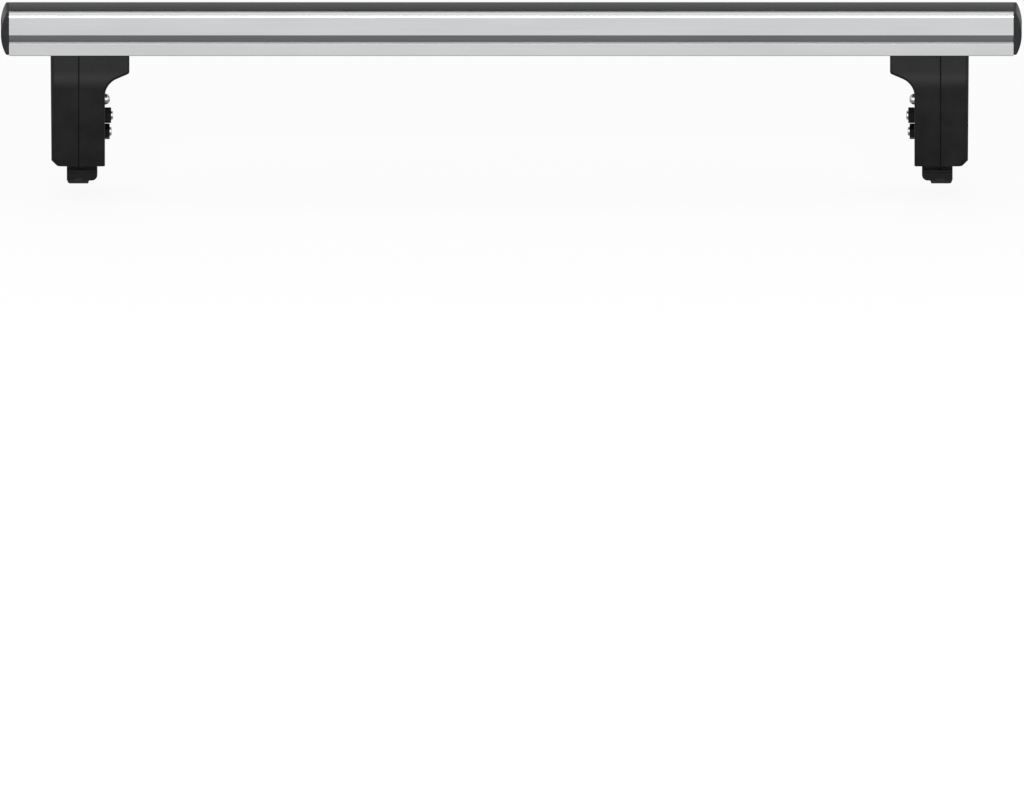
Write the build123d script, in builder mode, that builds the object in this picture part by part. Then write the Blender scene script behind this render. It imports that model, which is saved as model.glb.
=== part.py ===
from build123d import *
from math import cos, radians
import os

os.makedirs("parts", exist_ok=True)

# The bar lies along X, its front flank faces -Y and the object stands on its claws at Z = 0.
# Left is -X. Each cap and foot is drawn on the left and mirrored for the right.

# Bar profile
bar_length = 1130.0
bar_width = 50.0
bar_height = 50.0
bar_wall = 2.2
web_wall = 2.0
top_edge_radius = 5.2
bottom_edge_radius = 1.0

# Groove along each flank, with heights above the underside of the bar
groove_top = 24.6
groove_ledge = 14.9
groove_depth = 3.2
groove_heel = 1.0
groove_fillet = 0.4
groove_edge_radius = 0.4

# Slot under the bar that the feet slide in
slot_mouth = 11.0
slot_width = 21.0
slot_lip = 2.4
slot_height = 8.6

# Channel on top of the bar that grips the rubber strip
channel_mouth = 14.4
channel_width = 20.0
channel_lip = 2.4
channel_depth = 6.2

# Rubber strip
strip_width = 26.6
strip_crown = 4.5
strip_tip = 1.3
strip_tip_inset = 0.4
strip_land = 1.4
strip_relief = 1.0
strip_hollow = 2.0
strip_leg = 2.4
strip_barb = 1.4
strip_barb_height = 0.9
strip_barb_step = 0.3
strip_leg_clearance = 0.3
strip_end_clearance = 0.8

# End caps
cap_depth = 9.3
cap_edge_depth = 2.8
cap_inset = 0.3
cap_bottom_radius = 4.5
cap_edge_fillet = 1.3
spigot_length = 14.0
spigot_wall = 2.0
spigot_clearance = 0.2

# Sunken field on each cap, with its ends measured from the bar's middle plane
field_front = 12.8
field_back = 17.6
field_bottom = 26.5
field_height = 9.0
field_depth = 1.0
field_front_radius = 3.0
field_back_radius = 0.8

# Cap screws, driven into a boss that runs along the bar
boss_offset = 3.2
boss_height = 14.4
boss_radius = 4.0
cap_screw_radius = 2.05
cap_screw_head_radius = 4.6
cap_screw_length = 20.0
cap_screw_tip = 2.0
cap_socket_width = 3.0
cap_socket_depth = 1.6
recess_radius = 7.0
recess_floor = 2.8
recess_edge_radius = 0.6

# Fits between threads, and between a screw and a plain hole
thread_gap = 0.05
hole_clearance = 0.3

# Feet, each set by its seam, the joint between the halves of its tower, from the bar's end
left_foot_setback = 78.4
right_foot_setback = 82.0

# Towers
tower_height = 127.4
head_half_depth = 22.2
head_spread = 3.0
leg_half_depth = 28.0
shoulder_drop = 19.5
shoulder_height = 11.0
shoulder_top_radius = 60.0
shoulder_bottom_radius = 45.0
outboard_reach = 31.8
outboard_draft = 1.0
outboard_corner = 6.0
leg_inboard = 29.5
flange_reach = 57.0
flange_thickness = 20.0
flange_corner_radius = 3.5
gusset_drop = 31.6
gusset_radius = 21.0
outer_edge_fillet = 4.5
inner_edge_fillet = 3.0
seam_edge_radius = 1.3
tower_wall = 4.0
tower_roof = 9.0
rib_wall = 2.5
rib_setback = 4.0
column_half_width = 11.5

# Rubber saddle between tower and bar
saddle_thickness = 1.2
saddle_inset = 1.0

# Claw that carries the foot, clamped between the halves of the tower
plate_thickness = 5.0
plate_width = 36.0
plate_end_wall = 6.0
plate_corner_radius = 6.0
plate_clearance = 0.1
claw_extension = 20.0
claw_retraction = 5.3
shoe_height = 11.9
shoe_gap = 5.6
shoe_outboard = 13.5
shoe_inboard = 21.0
shoe_length = 50.0
shoe_upright_radius = 2.5
shoe_top_radius = 1.0
shoe_corner_radius = 6.5

# Rubber sole under the claw, held by a dovetail rib
sole_thickness = 3.4
sole_outboard = 12.8
sole_inboard = 11.8
sole_taper = 1.4
sole_corner_radius = 3.0
dovetail_mouth = 8.0
dovetail_flare = 1.0
dovetail_depth = 2.5
dovetail_clearance = 0.05

# Clamp bolts and nuts
bolt_radius = 5.0
bolt_head_width = 16.0
bolt_head_height = 6.4
bolt_head_recess = 7.5
bolt_head_clearance = 0.2
bolt_end = 2.1
bolt_chamfer = 0.9
upper_bolt_drop = 75.6
bolt_spacing = 18.9
upper_nut_height = 7.0
lower_nut_height = 5.4
hex_chamfer = 0.8

# Screw that joins the halves of the tower
joining_screw_drop = 56.7
joining_radius = 3.0
joining_head_radius = 5.8
joining_head_height = 4.6
joining_head_rim = 1.2
joining_washer = 1.2
joining_washer_radius = 6.2
joining_grip = 16.0
joining_socket_width = 4.0
joining_socket_depth = 2.4

# Bolts and slot nut that hold the tower under the bar
bar_bolt_radius = 4.0
bar_bolt_places = (15.0, 44.0)
bar_bolt_head_width = 13.0
bar_bolt_head_height = 5.3
bar_bolt_end = 1.0
bar_washer_radius = 8.0
bar_washer_thickness = 1.6
counterbore_clearance = 0.6
slot_nut_thickness = 5.0
slot_nut_margin = 10.0
slot_nut_clearance = 0.5

# Levels above the ground, and places along the bar
shoe_bottom = sole_thickness
shoe_top = shoe_bottom + shoe_height
tower_bottom = shoe_top + shoe_gap
tower_top = tower_bottom + tower_height
bar_bottom = tower_top + saddle_thickness
joining_level = tower_top - joining_screw_drop
upper_level = tower_top - upper_bolt_drop
lower_level = upper_level - bolt_spacing
shoulder_top = tower_top - shoulder_drop
shoulder_bottom = shoulder_top - shoulder_height
roof_level = tower_top - tower_roof
seam_reach = bar_length / 2 - left_foot_setback

# End planes, where local x is Y and local y is Z
bar_end = Plane(origin=(-bar_length / 2, 0, bar_bottom), x_dir=(0, 1, 0), z_dir=(1, 0, 0))
seam = Plane(origin=(-seam_reach, 0, 0), x_dir=(0, 1, 0), z_dir=(1, 0, 0))
# Front planes, where local x is X and local y is Z
cap_front = Plane(origin=(-bar_length / 2, 0, bar_bottom), x_dir=(1, 0, 0), z_dir=(0, -1, 0))
foot_front = Plane(origin=(-seam_reach, 0, 0), x_dir=(1, 0, 0), z_dir=(0, -1, 0))
# Plan of the foot, where local x is X and local y is Y
foot_plan = Plane(origin=(-seam_reach, 0, 0))
# Mirror planes of the caps and of the feet
bar_halfway = Plane.YZ
feet_halfway = Plane.YZ.offset((left_foot_setback - right_foot_setback) / 2)


def save(piece, name):
    piece.part.label = name
    export_step(piece.part, f"parts/{name}.step")


def save_pair(left, name, halfway):
    """Save a left piece, and its mirror image on the right."""
    with BuildPart() as right:
        mirror(left.part, about=halfway)
    save(left, f"{name}_left")
    save(right, f"{name}_right")


# Outline of the bar, from its underside up
with BuildSketch() as block_outline:
    with Locations((0, bar_height / 2)):
        Rectangle(bar_width, bar_height)
    fillet(block_outline.vertices().group_by(Axis.Y)[-1], top_edge_radius)
    fillet(block_outline.vertices().group_by(Axis.Y)[0], bottom_edge_radius)

groove_floor = bar_width / 2 - groove_depth

with BuildSketch() as groove:
    with BuildLine():
        Polyline(
            (bar_width / 2, groove_top),
            (groove_floor, groove_ledge + groove_heel),
            (groove_floor, groove_ledge),
            (bar_width / 2, groove_ledge),
            close=True,
        )
    make_face()
    fillet(groove.vertices().sort_by_distance((groove_floor, groove_ledge))[0], groove_fillet)

with BuildSketch() as bar_outline:
    add(block_outline.sketch)
    add(groove.sketch, mode=Mode.SUBTRACT)
    mirror(groove.sketch, about=Plane.YZ, mode=Mode.SUBTRACT)
    for flank in (-bar_width / 2, bar_width / 2):
        for level in (groove_top, groove_ledge):
            fillet(bar_outline.vertices().sort_by_distance((flank, level))[0], groove_edge_radius)

with BuildSketch() as groove_backing:
    offset(groove.sketch, amount=bar_wall, mode=Mode.ADD)

with BuildSketch() as bar_core:
    offset(block_outline.sketch, amount=-bar_wall, mode=Mode.ADD)
    add(groove_backing.sketch, mode=Mode.SUBTRACT)
    mirror(groove_backing.sketch, about=Plane.YZ, mode=Mode.SUBTRACT)

# Spaces and webs inside the bar
slot_roof = slot_lip + slot_height
lower_web_top = slot_roof + web_wall
channel_top = bar_height - channel_lip
channel_floor = channel_top - channel_depth
upper_web_bottom = channel_floor - web_wall

with BuildSketch() as slot_space:
    with Locations((0, slot_lip / 2)):
        Rectangle(slot_mouth, slot_lip)
    with Locations((0, slot_lip + slot_height / 2)):
        Rectangle(slot_width, slot_height)

with BuildSketch() as channel_space:
    with Locations((0, bar_height - channel_lip / 2)):
        Rectangle(channel_mouth, channel_lip)
    with Locations((0, channel_top - channel_depth / 2)):
        Rectangle(channel_width, channel_depth)

with BuildSketch() as screw_boss:
    with Locations((boss_offset, boss_height)):
        Circle(boss_radius)

with BuildSketch() as middle_chamber:
    with Locations((0, (lower_web_top + upper_web_bottom) / 2)):
        Rectangle(bar_width, upper_web_bottom - lower_web_top)
    add(bar_core.sketch, mode=Mode.INTERSECT)
    add(screw_boss.sketch, mode=Mode.SUBTRACT)

with BuildSketch() as bar_webs:
    with Locations((0, slot_roof + web_wall / 2), (0, channel_floor - web_wall / 2)):
        Rectangle(bar_width, web_wall)
    with Locations((0, lower_web_top / 2)):
        Rectangle(slot_width + 2 * web_wall, lower_web_top)
    with Locations((0, (upper_web_bottom + bar_height) / 2)):
        Rectangle(channel_width + 2 * web_wall, bar_height - upper_web_bottom)
    add(screw_boss.sketch)
    add(bar_core.sketch, mode=Mode.INTERSECT)

with BuildPart() as bar_profile:
    with BuildSketch(bar_end):
        add(bar_outline.sketch)
        add(bar_core.sketch, mode=Mode.SUBTRACT)
        add(bar_webs.sketch)
        add(slot_space.sketch, mode=Mode.SUBTRACT)
        add(channel_space.sketch, mode=Mode.SUBTRACT)
        with Locations((boss_offset, boss_height)):
            Circle(cap_screw_radius + thread_gap, mode=Mode.SUBTRACT)
    extrude(amount=bar_length)

save(bar_profile, "bar_profile")

# Rubber strip, crowned above the bar, with two barbed legs in the channel
leg_outer = channel_mouth / 2 - strip_leg_clearance
leg_inner = leg_outer - strip_leg
barb_outer = leg_outer + strip_barb
barb_top = channel_top - strip_barb_step
leg_foot = channel_floor + strip_end_clearance

with BuildSketch() as strip_section:
    with BuildLine():
        ThreePointArc(
            (-strip_width / 2, bar_height + strip_tip),
            (0, bar_height + strip_crown),
            (strip_width / 2, bar_height + strip_tip),
        )
        right_side = Polyline(
            (strip_width / 2, bar_height + strip_tip),
            (strip_width / 2 - strip_tip_inset, bar_height),
            (strip_width / 2 - strip_land, bar_height),
            (leg_outer, bar_height + strip_relief),
            (leg_outer, barb_top),
            (barb_outer, barb_top),
            (barb_outer, barb_top - strip_barb_height),
            (leg_outer, leg_foot),
            (leg_inner, leg_foot),
            (leg_inner, bar_height),
        )
        mirror(right_side, about=Plane.YZ)
        ThreePointArc(
            (-leg_inner, bar_height),
            (0, bar_height + strip_hollow),
            (leg_inner, bar_height),
        )
    make_face()

with BuildPart() as top_strip:
    with BuildSketch(bar_end):
        add(strip_section.sketch)
    extrude(amount=bar_length)

save(top_strip, "top_strip")

# Screw places at the left end of the bar
cap_screw_seat = Plane(
    origin=(-bar_length / 2 - recess_floor, boss_offset, bar_bottom + boss_height),
    x_dir=(0, 1, 0),
    z_dir=(-1, 0, 0),
)
countersink_depth = cap_screw_head_radius - cap_screw_radius


def dome(depth, edge_depth):
    """Section of a cap from the end of the bar out to a dome of these depths."""
    with BuildSketch() as section:
        with BuildLine():
            ThreePointArc((-edge_depth, 0), (-depth, bar_height / 2), (-edge_depth, bar_height))
            Polyline((-edge_depth, bar_height), (0, bar_height), (0, 0), (-edge_depth, 0))
        make_face()
    return section.sketch


# Tool that sinks the field into the dome by an even depth
with BuildPart() as field_tool:
    with BuildSketch(bar_end):
        with Locations(((field_back - field_front) / 2, field_bottom + field_height / 2)):
            Rectangle(field_front + field_back, field_height)
    extrude(amount=-2 * cap_depth)
    fillet(field_tool.edges().filter_by(Axis.X).group_by(Axis.Y)[0], field_front_radius)
    fillet(field_tool.edges().filter_by(Axis.X).group_by(Axis.Y)[-1], field_back_radius)
    with BuildSketch(cap_front):
        add(dome(cap_depth - field_depth, cap_edge_depth - field_depth))
    extrude(amount=bar_width, both=True, mode=Mode.SUBTRACT)

# End caps, domed from top to bottom, with a hollow spigot in the middle chamber
with BuildPart() as end_cap:
    with BuildSketch(bar_end) as cap_outline:
        with Locations((0, bar_height / 2)):
            Rectangle(bar_width - 2 * cap_inset, bar_height - 2 * cap_inset)
        fillet(cap_outline.vertices().group_by(Axis.Y)[-1], top_edge_radius - cap_inset)
        fillet(cap_outline.vertices().group_by(Axis.Y)[0], cap_bottom_radius)
    extrude(amount=-cap_depth)
    with BuildSketch(cap_front):
        add(dome(cap_depth, cap_edge_depth))
    extrude(amount=bar_width, both=True, mode=Mode.INTERSECT)
    fillet(end_cap.faces().sort_by(Axis.X)[0].edges(), cap_edge_fillet)
    with BuildSketch(bar_end):
        offset(middle_chamber.faces(), amount=-spigot_clearance, mode=Mode.ADD)
        offset(
            middle_chamber.faces(),
            amount=-spigot_clearance - spigot_wall,
            mode=Mode.SUBTRACT,
        )
    extrude(amount=spigot_length)
    add(field_tool.part, mode=Mode.SUBTRACT)
    with BuildSketch(cap_screw_seat):
        Circle(recess_radius)
    extrude(amount=cap_depth, mode=Mode.SUBTRACT)
    recess_mouth = end_cap.edges().filter_by(GeomType.BSPLINE).sort_by(SortBy.LENGTH)[-1]
    fillet(recess_mouth, recess_edge_radius)
    with Locations(cap_screw_seat.location):
        CounterSinkHole(
            radius=cap_screw_radius + hole_clearance,
            counter_sink_radius=cap_screw_head_radius + hole_clearance,
            counter_sink_angle=90,
            depth=recess_floor,
        )

save_pair(end_cap, "end_cap", bar_halfway)

# Countersunk cap screws
with BuildPart() as cap_screw:
    with BuildSketch(Plane(cap_screw_seat.origin, x_dir=(1, 0, 0), z_dir=(0, -1, 0))):
        with BuildLine():
            Polyline(
                (0, 0),
                (0, cap_screw_head_radius),
                (countersink_depth, cap_screw_radius),
                (cap_screw_length - cap_screw_tip, cap_screw_radius),
                (cap_screw_length, 0),
                close=True,
            )
        make_face()
    revolve(axis=Axis(cap_screw_seat.origin, (1, 0, 0)))
    with BuildSketch(cap_screw_seat):
        RegularPolygon(cap_socket_width / 2, 6, major_radius=False)
    extrude(amount=-cap_socket_depth, mode=Mode.SUBTRACT)

save_pair(cap_screw, "cap_screw", bar_halfway)

# Side view of the tower, narrow under the bar and wider below the shoulder
with BuildSketch() as tower_side:
    with BuildLine():
        back = Polyline(
            (0, tower_top),
            (head_half_depth, tower_top),
            (head_half_depth + head_spread, shoulder_top),
            (leg_half_depth, shoulder_bottom),
            (leg_half_depth, tower_bottom),
            (0, tower_bottom),
        )
        mirror(back, about=Plane.YZ)
    make_face()
    for side in (-1, 1):
        upper_bend = (side * (head_half_depth + head_spread), shoulder_top)
        fillet(tower_side.vertices().sort_by_distance(upper_bend)[0], shoulder_top_radius)
        lower_bend = (side * leg_half_depth, shoulder_bottom)
        fillet(tower_side.vertices().sort_by_distance(lower_bend)[0], shoulder_bottom_radius)

with BuildSketch() as tower_side_room:
    offset(tower_side.sketch, amount=-tower_wall, mode=Mode.ADD)
    with Locations((0, tower_bottom)):
        Rectangle(2 * (leg_half_depth - tower_wall), 2 * tower_wall)

# Front views of the two halves, with the seam at local x = 0
outboard_wall = outboard_reach - outboard_draft

with BuildSketch() as outer_front:
    with BuildLine():
        Polyline(
            (0, tower_top),
            (-outboard_reach, tower_top),
            (-outboard_wall, tower_bottom + outboard_corner),
            (outboard_corner - outboard_wall, tower_bottom),
            (0, tower_bottom),
            close=True,
        )
    make_face()

with BuildSketch() as inner_front:
    with BuildLine():
        Polyline(
            (0, tower_top),
            (flange_reach, tower_top),
            (flange_reach, tower_top - flange_thickness),
            (leg_inboard, tower_top - gusset_drop),
            (leg_inboard, tower_bottom),
            (0, tower_bottom),
            close=True,
        )
    make_face()
    gusset_corner = (leg_inboard, tower_top - gusset_drop)
    fillet(inner_front.vertices().sort_by_distance(gusset_corner)[0], gusset_radius)
    flange_corner = (flange_reach, tower_top - flange_thickness)
    fillet(inner_front.vertices().sort_by_distance(flange_corner)[0], flange_corner_radius)


def hex_corner(width):
    """Distance from the middle of a hexagon of this width to its corners."""
    return width / 2 / cos(radians(30))


# Column that takes the clamping force, around both bolts and the joining screw
column_top = joining_level + column_half_width
column_bottom = lower_level - hex_corner(bolt_head_width) - tower_wall
column_middle = (column_top + column_bottom) / 2
plate_gap = plate_thickness / 2 + plate_clearance


def tower_half(front, wall_x, edge_fillet, side):
    """One half of the tower. Side is -1 for the outboard half and 1 for the inboard one."""
    with BuildPart() as half:
        with BuildSketch(foot_front):
            add(front)
        extrude(amount=leg_half_depth, both=True)
        with BuildSketch(seam):
            add(tower_side.sketch)
        extrude(amount=flange_reach, both=True, mode=Mode.INTERSECT)
        seam_face = half.faces().sort_by(Axis.X)[-1 if side < 0 else 0]
        levels = half.faces().sort_by(Axis.Z)
        kept = seam_face.edges() + levels[0].edges() + levels[-1].edges()
        rims = half.edges().filter_by(Axis.X, reverse=True).filter_by(Axis.Y, reverse=True)
        fillet(rims.filter_by(lambda edge: edge not in kept), edge_fillet)
        seam_edges = half.faces().sort_by(Axis.X)[-1 if side < 0 else 0].edges()
        fillet(seam_edges.filter_by(Axis.Y, reverse=True), seam_edge_radius)
        with BuildSketch(seam):
            add(tower_side_room.sketch)
            with Locations((0, roof_level + tower_roof)):
                Rectangle(2 * leg_half_depth, 2 * tower_roof, mode=Mode.SUBTRACT)
        extrude(amount=side * (wall_x - tower_wall), mode=Mode.SUBTRACT)
        with BuildSketch(seam.offset(side * plate_gap)):
            with Locations((0, column_middle)):
                RectangleRounded(2 * column_half_width, column_top - column_bottom, tower_wall)
        extrude(amount=side * (wall_x - tower_wall / 2 - plate_gap))
        with BuildSketch(seam.offset(side * rib_setback)):
            for level in (joining_level, upper_level, lower_level):
                with Locations((0, level)):
                    Rectangle(2 * (leg_half_depth - tower_wall / 2), rib_wall)
        extrude(amount=side * (wall_x - tower_wall / 2 - rib_setback))
        with BuildSketch(seam):
            with Locations((0, upper_level), (0, lower_level)):
                Circle(bolt_radius + hole_clearance)
        extrude(amount=side * wall_x, mode=Mode.SUBTRACT)
    return half


# Outboard half, with a long recess that holds the heads of both clamp bolts
head_seat = seam.offset(bolt_head_recess - outboard_reach)
head_reach = 2 * (hex_corner(bolt_head_width) + bolt_head_clearance)

tower_outer = tower_half(outer_front.sketch, outboard_wall, outer_edge_fillet, -1)
with BuildPart() as outer_half:
    add(tower_outer.part)
    with BuildSketch(head_seat):
        with Locations((0, (upper_level + lower_level) / 2)):
            Rectangle(bolt_head_width + 2 * bolt_head_clearance, bolt_spacing + head_reach)
    extrude(amount=-2 * bolt_head_recess, mode=Mode.SUBTRACT)
    with BuildSketch(seam.offset(-plate_gap)):
        with Locations((0, joining_level)):
            Circle(joining_radius + thread_gap)
    extrude(amount=-joining_grip - hole_clearance, mode=Mode.SUBTRACT)

save_pair(outer_half, "tower_outer", feet_halfway)

# Inboard half, with the flange that two bolts hold under the bar
tower_inner = tower_half(inner_front.sketch, leg_inboard, inner_edge_fillet, 1)
with BuildPart() as inner_half:
    add(tower_inner.part)
    with BuildSketch(seam):
        with Locations((0, joining_level)):
            Circle(joining_radius + hole_clearance)
    extrude(amount=leg_inboard, mode=Mode.SUBTRACT)
    with BuildSketch(foot_plan.offset(roof_level)):
        with Locations([(place, 0) for place in bar_bolt_places]):
            Circle(bar_bolt_radius + hole_clearance)
    extrude(amount=tower_roof, mode=Mode.SUBTRACT)
    with BuildSketch(foot_plan.offset(roof_level)):
        with Locations((bar_bolt_places[-1], 0)):
            Circle(bar_washer_radius + counterbore_clearance)
    extrude(amount=-gusset_drop, mode=Mode.SUBTRACT)

save_pair(inner_half, "tower_inner", feet_halfway)

# Rubber saddle
with BuildPart() as saddle_pad:
    with BuildSketch(foot_plan.offset(tower_top)):
        with Locations(((flange_reach - outboard_reach) / 2, 0)):
            Rectangle(
                flange_reach + outboard_reach - 2 * saddle_inset,
                2 * (head_half_depth - saddle_inset),
            )
        with Locations([(place, 0) for place in bar_bolt_places]):
            Circle(bar_bolt_radius + hole_clearance, mode=Mode.SUBTRACT)
    extrude(amount=saddle_thickness)

save_pair(saddle_pad, "saddle_pad", feet_halfway)

# Claw: a slotted plate that rises between the halves of the tower, and a shoe below it
slot_bottom = lower_level - bolt_radius - hole_clearance - claw_retraction
slot_top = joining_level + joining_radius + hole_clearance + claw_extension
plate_top = slot_top + plate_end_wall

with BuildSketch(foot_plan) as shoe_plan:
    with Locations(((shoe_inboard - shoe_outboard) / 2, 0)):
        RectangleRounded(shoe_inboard + shoe_outboard, shoe_length, shoe_upright_radius)

with BuildPart() as claw:
    with BuildSketch(foot_front) as shoe_front:
        with Locations(((shoe_inboard - shoe_outboard) / 2, (shoe_top + shoe_bottom) / 2)):
            Rectangle(shoe_inboard + shoe_outboard, shoe_height)
        fillet(
            shoe_front.vertices().sort_by_distance((shoe_inboard, shoe_bottom))[0],
            shoe_corner_radius,
        )
        with BuildLine():
            Polyline(
                (-dovetail_mouth / 2, shoe_bottom),
                (-dovetail_mouth / 2 - dovetail_flare, shoe_bottom + dovetail_depth),
                (dovetail_mouth / 2 + dovetail_flare, shoe_bottom + dovetail_depth),
                (dovetail_mouth / 2, shoe_bottom),
                close=True,
            )
        make_face(mode=Mode.SUBTRACT)
    extrude(amount=shoe_length / 2, both=True)
    extrude(shoe_plan.sketch, amount=shoe_top, mode=Mode.INTERSECT)
    fillet(claw.faces().sort_by(Axis.Z)[-1].edges(), shoe_top_radius)
    with BuildSketch(seam) as plate_front:
        with Locations((0, (plate_top + shoe_top) / 2)):
            Rectangle(plate_width, plate_top - shoe_top)
        fillet(plate_front.vertices().group_by(Axis.Y)[-1], plate_corner_radius)
        with Locations((0, (slot_top + slot_bottom) / 2)):
            SlotOverall(
                slot_top - slot_bottom,
                2 * (bolt_radius + hole_clearance),
                rotation=90,
                mode=Mode.SUBTRACT,
            )
    extrude(amount=plate_thickness / 2, both=True)

save_pair(claw, "claw", feet_halfway)

# Rubber sole, keyed into the shoe by its rib
rib_mouth = dovetail_mouth / 2 - dovetail_clearance
rib_crest = rib_mouth + dovetail_flare
rib_top = shoe_bottom + dovetail_depth - dovetail_clearance

with BuildPart() as claw_sole:
    with BuildSketch(foot_front) as sole_front:
        with BuildLine():
            Polyline(
                (-sole_outboard, 0),
                (-sole_outboard, sole_thickness),
                (-rib_mouth, sole_thickness),
                (-rib_crest, rib_top),
                (rib_crest, rib_top),
                (rib_mouth, sole_thickness),
                (sole_inboard, sole_thickness),
                (sole_inboard - sole_taper, 0),
                close=True,
            )
        make_face()
        fillet(sole_front.vertices().sort_by_distance((-sole_outboard, 0))[0], sole_corner_radius)
    extrude(amount=shoe_length / 2, both=True)
    extrude(shoe_plan.sketch, amount=shoe_top, mode=Mode.INTERSECT)

save_pair(claw_sole, "claw_sole", feet_halfway)


def hexagon(width):
    """Hexagon with two of its corners up and down in an end plane."""
    return RegularPolygon(width / 2, 6, major_radius=False, rotation=30)


def corner_break(plane, width, height):
    """Turned outline that takes the corners off both faces of a hexagon."""
    with BuildPart() as turned:
        with BuildSketch(plane):
            Circle(hex_corner(width))
        extrude(amount=height)
        chamfer(turned.edges().filter_by(GeomType.CIRCLE), hex_chamfer / 2, hex_chamfer)
    return turned.part


def hex_blank(plane, width, height):
    """Hexagonal bolt head or nut blank, raised from a plane."""
    with BuildPart() as blank:
        with BuildSketch(plane):
            hexagon(width)
        extrude(amount=height)
        add(corner_break(plane, width, height), mode=Mode.INTERSECT)
    return blank.part


# Clamp bolts, with their heads held in the recess
nut_seat = seam.offset(leg_inboard)
clamp_sets = ((upper_level, upper_nut_height), (lower_level, lower_nut_height))

with BuildPart() as clamp_bolts:
    for level, nut_height in clamp_sets:
        head_plane = Plane(head_seat.origin + Vector(0, 0, level), x_dir=(0, 1, 0), z_dir=(-1, 0, 0))
        add(hex_blank(head_plane, bolt_head_width, bolt_head_height))
        with BuildSketch(head_seat):
            with Locations((0, level)):
                Circle(bolt_radius)
        bolt_length = leg_inboard + nut_height + bolt_end + outboard_reach - bolt_head_recess
        extrude(amount=bolt_length)
    ends = clamp_bolts.faces().filter_by(Axis.X).sort_by(Axis.X)[-2:]
    chamfer(ends.edges(), bolt_chamfer)

save_pair(clamp_bolts, "clamp_bolts", feet_halfway)

# Clamp nuts
for name, (level, nut_height) in zip(("upper", "lower"), clamp_sets):
    nut_plane = Plane(nut_seat.origin + Vector(0, 0, level), x_dir=(0, 1, 0), z_dir=(1, 0, 0))
    with BuildPart() as clamp_nut:
        add(hex_blank(nut_plane, bolt_head_width, nut_height))
        with BuildSketch(nut_plane):
            Circle(bolt_radius + thread_gap)
        extrude(amount=nut_height, mode=Mode.SUBTRACT)
    save_pair(clamp_nut, f"{name}_clamp_nut", feet_halfway)

# Joining screw with a domed head, and its washer
joining_axis = Axis((-seam_reach, 0, joining_level), (1, 0, 0))
joining_front = Plane(joining_axis.position, x_dir=(1, 0, 0), z_dir=(0, -1, 0))
joining_seat = leg_inboard + joining_washer
joining_crown = joining_seat + joining_head_height
joining_tip = -plate_gap - joining_grip

with BuildPart() as joining_screw:
    with BuildSketch(joining_front):
        with BuildLine():
            Polyline(
                (joining_crown, 0),
                (joining_tip, 0),
                (joining_tip, joining_radius),
                (joining_seat, joining_radius),
                (joining_seat, joining_head_radius),
                (joining_seat + joining_head_rim, joining_head_radius),
            )
            TangentArc(
                (joining_crown, 0),
                (joining_seat + joining_head_rim, joining_head_radius),
                tangent=(0, 1),
            )
        make_face()
    revolve(axis=joining_axis)
    with BuildSketch(seam.offset(joining_crown)):
        with Locations((0, joining_level)):
            hexagon(joining_socket_width)
    extrude(amount=-joining_socket_depth, mode=Mode.SUBTRACT)

save_pair(joining_screw, "joining_screw", feet_halfway)

with BuildPart() as joining_washer_ring:
    with BuildSketch(nut_seat):
        with Locations((0, joining_level)):
            Circle(joining_washer_radius)
            Circle(joining_radius + hole_clearance, mode=Mode.SUBTRACT)
    extrude(amount=joining_washer)

save_pair(joining_washer_ring, "joining_washer", feet_halfway)

# Slot nut, a bar with two threaded holes that rests on the lips of the slot
slot_nut_bottom = bar_bottom + slot_lip
slot_nut_top = slot_nut_bottom + slot_nut_thickness
bolt_span = bar_bolt_places[-1] - bar_bolt_places[0]

with BuildPart() as slot_nut:
    with BuildSketch(foot_plan.offset(slot_nut_bottom)):
        with Locations((bar_bolt_places[0] + bolt_span / 2, 0)):
            Rectangle(bolt_span + 2 * slot_nut_margin, slot_width - 2 * slot_nut_clearance)
        with Locations([(place, 0) for place in bar_bolt_places]):
            Circle(bar_bolt_radius + thread_gap, mode=Mode.SUBTRACT)
    extrude(amount=slot_nut_thickness)

save_pair(slot_nut, "slot_nut", feet_halfway)

# Bolts and washers under the roof of the tower
washer_bottom = roof_level - bar_washer_thickness

with BuildPart() as bar_washers:
    with BuildSketch(foot_plan.offset(washer_bottom)):
        with Locations([(place, 0) for place in bar_bolt_places]):
            Circle(bar_washer_radius)
            Circle(bar_bolt_radius + hole_clearance, mode=Mode.SUBTRACT)
    extrude(amount=bar_washer_thickness)

save_pair(bar_washers, "bar_washers", feet_halfway)

with BuildPart() as bar_bolts:
    with BuildSketch(foot_plan.offset(washer_bottom)):
        with Locations([(place, 0) for place in bar_bolt_places]):
            RegularPolygon(bar_bolt_head_width / 2, 6, major_radius=False)
    extrude(amount=-bar_bolt_head_height)
    with BuildSketch(foot_plan.offset(washer_bottom)):
        with Locations([(place, 0) for place in bar_bolt_places]):
            Circle(bar_bolt_radius)
    extrude(amount=slot_nut_top + bar_bolt_end - washer_bottom)

save_pair(bar_bolts, "bar_bolts", feet_halfway)
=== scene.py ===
import bpy
import math
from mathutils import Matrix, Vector


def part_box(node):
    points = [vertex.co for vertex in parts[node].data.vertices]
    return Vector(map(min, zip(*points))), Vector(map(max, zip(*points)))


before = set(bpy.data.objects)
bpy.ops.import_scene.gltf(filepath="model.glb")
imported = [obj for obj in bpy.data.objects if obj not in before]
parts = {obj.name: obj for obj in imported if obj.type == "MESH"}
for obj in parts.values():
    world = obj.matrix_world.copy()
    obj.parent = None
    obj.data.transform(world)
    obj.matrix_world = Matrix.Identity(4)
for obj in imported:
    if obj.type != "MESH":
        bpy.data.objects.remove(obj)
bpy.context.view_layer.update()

# All lengths are in metres.

# Camera: square to the bar, looking down on it a little, without perspective
view_elevation = math.radians(16.8)
view_distance = 3.0
view_reach = 50.0
view_width = 1.152
view_centre = Vector((0.0008, 0.0, -0.2585))

# Groove in each flank of the bar, where shade is painted on the metal, with heights above the
# underside of the bar
groove_bottom = 0.0148
groove_top = 0.0246

# How near a point must be to a face to count as on it
skin = 0.00005

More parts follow.
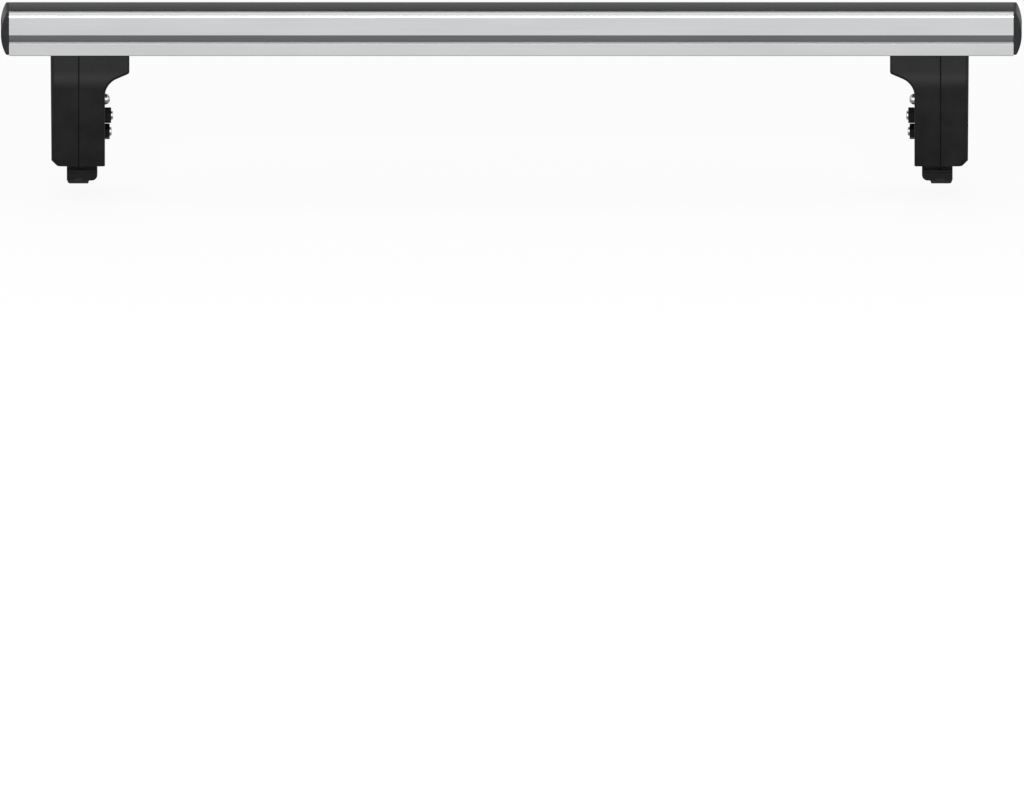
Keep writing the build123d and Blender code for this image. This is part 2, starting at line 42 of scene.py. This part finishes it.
# A grain's stretch when it is the same every way, and the range that most of it falls in
even = (1.0, 1.0, 1.0)
grain_low = 0.3
grain_high = 0.7

# Studio, with the floor as low as the claws can reach
floor_level = -0.0205
floor_size = 30.0
floor_shades = (0.9, 0.9, 0.9), (0.91, 0.91, 0.91)
floor_glow = 0.85
room_light = 0.5
front_radiance = 3.2
top_radiance = 0.6
back_radiance = 0.7
side_radiance = 2.6
behind_shade = 0.55
below_shade = 0.45

scene = bpy.context.scene
scene.view_settings.view_transform = "Standard"


# Material building


def start_material(name):
    """A new material and its principled shader."""
    material = bpy.data.materials.new(name)
    material.use_nodes = True
    return material, material.node_tree.nodes["Principled BSDF"]


def add_node(material, kind, **settings):
    """A node of this kind, with its sockets set by their names."""
    node = material.node_tree.nodes.new(kind)
    for socket, value in settings.items():
        node.inputs[socket.replace("_", " ").title()].default_value = value
    return node


def join(material, output, socket):
    material.node_tree.links.new(output, socket)


def compute(material, operation, first, second=0.0, clamp=False):
    """A sum on one output and a second output or number."""
    node = add_node(material, "ShaderNodeMath")
    node.operation = operation
    node.use_clamp = clamp
    join(material, first, node.inputs[0])
    if isinstance(second, float):
        node.inputs[1].default_value = second
    else:
        join(material, second, node.inputs[1])
    return node.outputs["Value"]


def grain(material, size, stretch=even, detail=2.0):
    """Noise fixed to the piece. Size is about the width of a grain, before the stretch."""
    place = add_node(material, "ShaderNodeTexCoord")
    mapping = add_node(material, "ShaderNodeMapping", Scale=stretch)
    noise = add_node(material, "ShaderNodeTexNoise", Scale=1 / size, Detail=detail)
    join(material, place.outputs["Object"], mapping.inputs["Vector"])
    join(material, mapping.outputs["Vector"], noise.inputs["Vector"])
    return noise.outputs["Fac"]


def spread(material, factor, low, high):
    """The grain's middle range, spread from low to high."""
    spreader = add_node(
        material,
        "ShaderNodeMapRange",
        From_Min=grain_low,
        From_Max=grain_high,
        To_Min=low,
        To_Max=high,
    )
    join(material, factor, spreader.inputs["Value"])
    return spreader.outputs["Result"]


def shades(material, factor, dark, light):
    """A colour between two shades, by the grain."""
    ramp = add_node(material, "ShaderNodeValToRGB")
    stops = ramp.color_ramp.elements
    stops[0].position = grain_low
    stops[0].color = (*dark, 1.0)
    stops[1].position = grain_high
    stops[1].color = (*light, 1.0)
    join(material, factor, ramp.inputs["Fac"])
    return ramp.outputs["Color"]


def blend(material, factor, first, second):
    """The first colour, or the second where the factor is one."""
    mix = material.node_tree.nodes.new("ShaderNodeMix")
    mix.data_type = "RGBA"
    join(material, factor, mix.inputs["Factor"])
    join(material, first, mix.inputs["A"])
    join(material, second, mix.inputs["B"])
    return mix.outputs["Result"]


def axes_of(material):
    """Place on the piece, axis by axis."""
    place = add_node(material, "ShaderNodeTexCoord")
    axes = add_node(material, "ShaderNodeSeparateXYZ")
    join(material, place.outputs["Object"], axes.inputs["Vector"])
    return axes.outputs


def at_ends(material, reach):
    """One on the faces that close a long piece at this distance from its middle."""
    away = compute(material, "ABSOLUTE", axes_of(material)["X"])
    return compute(material, "GREATER_THAN", away, reach - skin)


def in_grooves(material, flank, bottom, top):
    """One inside the grooves of the flanks, between these two levels."""
    axes = axes_of(material)
    inside = compute(material, "LESS_THAN", compute(material, "ABSOLUTE", axes["Y"]), flank - skin)
    above = compute(material, "GREATER_THAN", axes["Z"], bottom)
    below = compute(material, "LESS_THAN", axes["Z"], top)
    return compute(material, "MULTIPLY", inside, compute(material, "MULTIPLY", above, below))


def surface(material, output):
    """Make this output what the material shows."""
    join(material, output, material.node_tree.nodes["Material Output"].inputs["Surface"])


def tint(material, shader, factor, dark, light):
    """Colour from dark to light, by the grain."""
    join(material, shades(material, factor, dark, light), shader.inputs["Base Color"])


def roughen(material, shader, factor, low, high):
    """Roughness from low to high, by the grain."""
    join(material, spread(material, factor, low, high), shader.inputs["Roughness"])


def emboss(material, shader, *heights):
    """Bumps laid over each other, each a grain and its depth."""
    normal = None
    for height, depth in heights:
        bump = add_node(material, "ShaderNodeBump", Strength=1.0, Distance=depth)
        join(material, height, bump.inputs["Height"])
        if normal:
            join(material, normal, bump.inputs["Normal"])
        normal = bump.outputs["Normal"]
    join(material, normal, shader.inputs["Normal"])


# Finishes


def anodised_aluminium():
    """Silver anodised aluminium, with fine lines from the die, and painted shade darkening the
    metal inside the grooves of the flanks.
    """
    material, shader = start_material("anodised_aluminium")
    shader.inputs["Metallic"].default_value = 1.0
    lines = grain(material, size=0.0006, stretch=(0.004, 1.0, 1.0), detail=3.0)
    etch = grain(material, size=0.00025)
    patches = grain(material, size=0.03, stretch=(0.25, 1.0, 1.0))
    drawn = shades(material, lines, (0.515, 0.52, 0.525), (0.55, 0.555, 0.56))
    # Painted shade: a darker colour for the metal inside the grooves, where shade falls
    painted_groove_shade = shades(material, lines, (0.26, 0.265, 0.27), (0.31, 0.315, 0.32))
    low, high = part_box("bar_profile")
    grooves = in_grooves(material, high.y, low.z + groove_bottom, low.z + groove_top)
    join(material, blend(material, grooves, drawn, painted_groove_shade), shader.inputs["Base Color"])
    roughen(material, shader, patches, 0.28, 0.33)
    emboss(material, shader, (lines, 0.0000016), (etch, 0.0000015))
    return material


def strip_rubber():
    """Black rubber, extruded with faint streaks along the bar, and paler where it is cut, partly
    the cut rubber's own tone and partly a painted sheen of light on the cut faces.
    """
    material, shader = start_material("strip_rubber")
    shader.inputs["Specular IOR Level"].default_value = 0.25
    streaks = grain(material, size=0.0016, stretch=(0.01, 1.0, 1.0), detail=3.0)
    pores = grain(material, size=0.0004)
    outside = shades(material, streaks, (0.020, 0.020, 0.021), (0.032, 0.032, 0.034))
    # Paler cut faces: partly the cut rubber's own tone, partly painted sheen from the light on the
    # ends
    cut_tone_and_sheen = shades(material, pores, (0.13, 0.13, 0.135), (0.19, 0.19, 0.195))
    ends = at_ends(material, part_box("top_strip")[1].x)
    join(material, blend(material, ends, outside, cut_tone_and_sheen), shader.inputs["Base Color"])
    roughen(material, shader, streaks, 0.34, 0.44)
    emboss(material, shader, (streaks, 0.00003), (pores, 0.00001))
    return material


def sole_rubber():
    """Dense black rubber, pressed in a mould, that takes no shine."""
    material, shader = start_material("sole_rubber")
    shader.inputs["Specular IOR Level"].default_value = 0.2
    pores = grain(material, size=0.0005, detail=3.0)
    clouds = grain(material, size=0.006)
    tint(material, shader, clouds, (0.006, 0.006, 0.006), (0.010, 0.010, 0.010))
    roughen(material, shader, clouds, 0.55, 0.68)
    emboss(material, shader, (pores, 0.00004))
    return material


def cap_plastic():
    """Dark grey plastic with the fine grain of an eroded mould."""
    material, shader = start_material("cap_plastic")
    shader.inputs["Specular IOR Level"].default_value = 0.12
    mould = grain(material, size=0.0005, detail=3.0)
    clouds = grain(material, size=0.012)
    tint(material, shader, clouds, (0.014, 0.0145, 0.0155), (0.019, 0.0195, 0.021))
    roughen(material, shader, clouds, 0.44, 0.52)
    emboss(material, shader, (mould, 0.00003))
    return material


def tower_plastic():
    """Black glass-filled plastic, grained by its mould."""
    material, shader = start_material("tower_plastic")
    shader.inputs["Specular IOR Level"].default_value = 0.15
    mould = grain(material, size=0.0006, detail=3.0)
    clouds = grain(material, size=0.02)
    tint(material, shader, clouds, (0.0035, 0.0035, 0.004), (0.0065, 0.0065, 0.007))
    roughen(material, shader, clouds, 0.36, 0.44)
    emboss(material, shader, (mould, 0.00004))
    return material


def black_steel():
    """Steel under a black coat that has dried with a slight orange peel."""
    material, shader = start_material("black_steel")
    shader.inputs["Specular IOR Level"].default_value = 0.13
    peel = grain(material, size=0.0012)
    clouds = grain(material, size=0.01)
    tint(material, shader, clouds, (0.003, 0.003, 0.003), (0.005, 0.005, 0.005))
    roughen(material, shader, clouds, 0.34, 0.42)
    emboss(material, shader, (peel, 0.00004))
    return material


def zinc_steel():
    """Bright zinc on turned steel."""
    material, shader = start_material("zinc_steel")
    shader.inputs["Metallic"].default_value = 1.0
    turned = grain(material, size=0.0004, stretch=(1.0, 0.15, 0.15))
    clouds = grain(material, size=0.004)
    tint(material, shader, clouds, (0.42, 0.425, 0.43), (0.54, 0.545, 0.55))
    roughen(material, shader, clouds, 0.28, 0.38)
    emboss(material, shader, (turned, 0.00001))
    return material


def painted_shade_zinc():
    """Zinc darkened with painted shade, for the screw deep in the hole of the cap, where shade
    falls.
    """
    material, shader = start_material("painted_shade_zinc")
    shader.inputs["Metallic"].default_value = 1.0
    turned = grain(material, size=0.0004, stretch=(0.15, 1.0, 1.0))
    clouds = grain(material, size=0.003)
    # Painted shade: the zinc is coloured dark for the shade deep in the cap's hole
    tint(material, shader, clouds, (0.11, 0.11, 0.115), (0.16, 0.16, 0.165))
    roughen(material, shader, clouds, 0.32, 0.42)
    emboss(material, shader, (turned, 0.00001))
    return material


def dress(finish, *names):
    """Give a finish to the pieces of these names, or to the left and right ones."""
    material = finish()
    for name in names:
        for side in ("", "_left", "_right"):
            if name + side in parts:
                parts[name + side].data.materials[0] = material


dress(anodised_aluminium, "bar_profile")
dress(strip_rubber, "top_strip")
dress(sole_rubber, "saddle_pad", "claw_sole")
dress(cap_plastic, "end_cap")
dress(tower_plastic, "tower_outer", "tower_inner")
dress(black_steel, "claw", "upper_clamp_nut", "lower_clamp_nut")
dress(painted_shade_zinc, "cap_screw")
dress(
    zinc_steel,
    "clamp_bolts",
    "joining_screw",
    "joining_washer",
    "slot_nut",
    "bar_washers",
    "bar_bolts",
)


# Studio


def background_rays(material):
    """One for the rays that show the background: from the camera, and through or off a piece."""
    rays = add_node(material, "ShaderNodeLightPath").outputs
    total = rays["Is Camera Ray"]
    for kind in ("Is Glossy Ray", "Is Transmission Ray"):
        total = compute(material, "ADD", total, rays[kind], clamp=True)
    return total


def white_floor():
    """A floor that takes the object's shadow and fades into a white background."""
    bpy.ops.mesh.primitive_plane_add(size=floor_size, location=(0.0, 0.0, floor_level))
    floor = bpy.context.object
    floor.name = "floor"
    material, shader = start_material("floor_paper")
    tint(material, shader, grain(material, size=0.004), *floor_shades)
    shader.inputs["Roughness"].default_value = 1.0
    shader.inputs["Specular IOR Level"].default_value = 0.0
    glow = add_node(material, "ShaderNodeEmission", Strength=1.0)
    mix = add_node(material, "ShaderNodeMixShader")
    share = compute(material, "MULTIPLY", background_rays(material), floor_glow)
    join(material, share, mix.inputs[0])
    join(material, shader.outputs["BSDF"], mix.inputs[1])
    join(material, glow.outputs["Emission"], mix.inputs[2])
    surface(material, mix.outputs["Shader"])
    floor.data.materials.append(material)


def white_room():
    """Even light from all round, which shows as white."""
    world = bpy.data.worlds.new("white_room")
    world.use_nodes = True
    scene.world = world
    background = world.node_tree.nodes["Background"]
    background.inputs["Color"].default_value = (1.0, 1.0, 1.0, 1.0)
    strength = add_node(world, "ShaderNodeMapRange", To_Min=room_light, To_Max=1.0)
    join(world, background_rays(world), strength.inputs["Value"])
    join(world, strength.outputs["Result"], background.inputs["Strength"])


def softbox(name, place, aim, width, height, radiance):
    """A soft lamp that is equally bright all over."""
    bpy.ops.object.light_add(type="AREA", location=place)
    lamp = bpy.context.object
    lamp.name = name
    lamp.data.shape = "RECTANGLE"
    lamp.data.size = width
    lamp.data.size_y = height
    lamp.data.energy = radiance * math.pi * width * height
    lamp.rotation_euler = (Vector(aim) - Vector(place)).to_track_quat("-Z", "Y").to_euler()


def card(name, place, aim, width, height, shade):
    """A glowing grey sheet that only reflections show, a painted reflection to draw an edge."""
    bpy.ops.mesh.primitive_plane_add(size=1.0, location=place)
    sheet = bpy.context.object
    sheet.name = name
    sheet.scale = (width, height, 1.0)
    sheet.rotation_euler = (Vector(aim) - Vector(place)).to_track_quat("Z", "Y").to_euler()
    material = start_material(name + "_paint")[0]
    glow = add_node(material, "ShaderNodeEmission", Strength=shade)
    surface(material, glow.outputs["Emission"])
    sheet.data.materials.append(material)
    sheet.visible_camera = False
    sheet.visible_diffuse = False
    sheet.visible_transmission = False
    sheet.visible_shadow = False


def photo_camera():
    """The camera of the picture that shows the whole bar."""
    back = Vector((0.0, -math.cos(view_elevation), math.sin(view_elevation)))
    bpy.ops.object.camera_add(
        location=view_centre + view_distance * back,
        rotation=(math.pi / 2 - view_elevation, 0.0, 0.0),
    )
    camera = bpy.context.object
    camera.name = "photo_camera"
    camera.data.type = "ORTHO"
    camera.data.ortho_scale = view_width
    camera.data.clip_end = view_reach
    scene.camera = camera


bar_low, bar_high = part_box("bar_profile")
middle = (bar_low + bar_high) / 2

white_floor()
white_room()
softbox("front_softbox", (0.0, -2.4, 1.0), middle, width=3.4, height=1.6, radiance=front_radiance)
softbox("top_softbox", (0.0, 0.1, 2.6), middle, width=2.6, height=1.4, radiance=top_radiance)
softbox("back_softbox", (0.0, 2.4, 1.6), middle, width=2.6, height=1.4, radiance=back_radiance)
softbox("left_softbox", (-2.6, -0.35, 0.9), middle, width=1.4, height=1.4, radiance=side_radiance)
softbox("right_softbox", (2.6, -0.35, 0.9), middle, width=1.4, height=1.4, radiance=side_radiance)
# Painted reflections: glowing grey sheets behind and below the bar, seen only in reflections
card("card_behind", (0.0, 1.6, 0.62), middle, width=4.0, height=1.1, shade=behind_shade)
card("card_below", (0.0, 0.0, 0.012), (0.0, 0.0, 1.0), width=1.3, height=0.5, shade=below_shade)
photo_camera()
